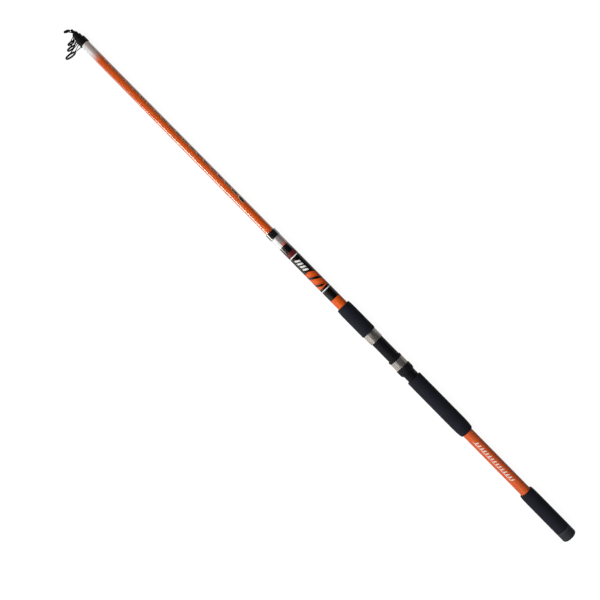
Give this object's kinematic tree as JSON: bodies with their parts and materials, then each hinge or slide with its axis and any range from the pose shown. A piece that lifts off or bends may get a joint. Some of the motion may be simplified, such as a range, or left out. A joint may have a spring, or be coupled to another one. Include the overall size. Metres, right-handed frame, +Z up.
{
  "type": "telescopic fishing rod",
  "caption": "Telescopic fishing rod with nested tube sections, wire ring guides on collars, foam grips and a screw-down reel seat, for casting and landing fish.",
  "frame": {"origin": "centre of the butt cap's flat end, on the rod's axis", "axes": "+X along the rod to the tip, +Z up with the rod lying down, +Y the side of the guides and the reel"},
  "size_m": [1.5031, 0.0692, 0.0349],
  "materials": {
    "blank_paint": "gloss",
    "tip_paint": "gloss",
    "collar_black": "gloss",
    "grip_foam": "matte",
    "cap_rubber": "matte",
    "seat_plastic": "satin",
    "hood_steel": "satin",
    "guide_wire": "satin",
    "guide_ceramic": "gloss",
    "damper_pad": "matte",
    "bare_alloy": "satin"
  },
  "bodies": {
    "handle": {"handle_blank": "blank_paint", "handle_collar": "collar_black", "fore_grip": "grip_foam", "rear_grip": "grip_foam", "butt_grip": "grip_foam", "butt_thread_ring": "bare_alloy", "reel_seat_barrel": "seat_plastic", "fixed_hood": "seat_plastic", "fixed_hood_band": "hood_steel"},
    "butt_damper": {"butt_damper": "damper_pad"},
    "butt_cap": {"butt_plug": "seat_plastic", "butt_cap": "cap_rubber"},
    "moving_hood": {"moving_hood": "seat_plastic", "moving_hood_band": "hood_steel"},
    "lock_nut": {"lock_nut": "seat_plastic"},
    "section_2": {"section_2_blank": "blank_paint", "section_2_collar": "collar_black", "section_2_guide_frame": "guide_wire", "section_2_guide_ring": "guide_ceramic"},
    "section_3": {"section_3_blank": "blank_paint", "section_3_collar": "collar_black", "section_3_guide_frame": "guide_wire", "section_3_guide_ring": "guide_ceramic"},
    "section_4": {"section_4_blank": "blank_paint", "section_4_collar": "collar_black", "section_4_guide_frame": "guide_wire", "section_4_guide_ring": "guide_ceramic"},
    "tip": {"tip_blank": "tip_paint", "tip_top_tube": "collar_black", "tip_top_frame": "guide_wire", "tip_top_ring": "guide_ceramic"}
  },
  "joints": [
    {"name": "section_2_slide", "type": "slide", "parent": "handle", "child": "section_2", "axis": [1, 0, 0], "range_m": [-0.5527, 0]},
    {"name": "section_3_slide", "type": "slide", "parent": "section_2", "child": "section_3", "axis": [1, 0, 0], "range_m": [0, 0.5247]},
    {"name": "section_4_slide", "type": "slide", "parent": "section_3", "child": "section_4", "axis": [1, 0, 0], "range_m": [0, 0.5047]},
    {"name": "tip_slide", "type": "slide", "parent": "section_4", "child": "tip", "axis": [1, 0, 0], "range_m": [0, 0.4715]},
    {"name": "hood_slide", "type": "slide", "parent": "handle", "child": "moving_hood", "axis": [1, 0, 0], "range_m": [-0.0161, 0.0141]},
    {"name": "nut_spin", "type": "hinge", "parent": "moving_hood", "child": "lock_nut", "pos_m": [0.4945, 0, 0], "axis": [1, 0, 0], "range_deg": [-1800, 1575]},
    {"name": "damper_slide", "type": "slide", "parent": "handle", "child": "butt_damper", "axis": [-1, 0, 0], "range_m": [0, 0.0171]},
    {"name": "cap_spin", "type": "hinge", "parent": "butt_damper", "child": "butt_cap", "pos_m": [0.012, 0, 0], "axis": [-1, 0, 0], "range_deg": [0, 3060]}
  ],
  "couplings": [
    {"joint": "hood_slide", "follows": "nut_spin", "m_per_rad": 0.0005093},
    {"joint": "damper_slide", "follows": "cap_spin", "m_per_rad": 0.00031831}
  ]
}
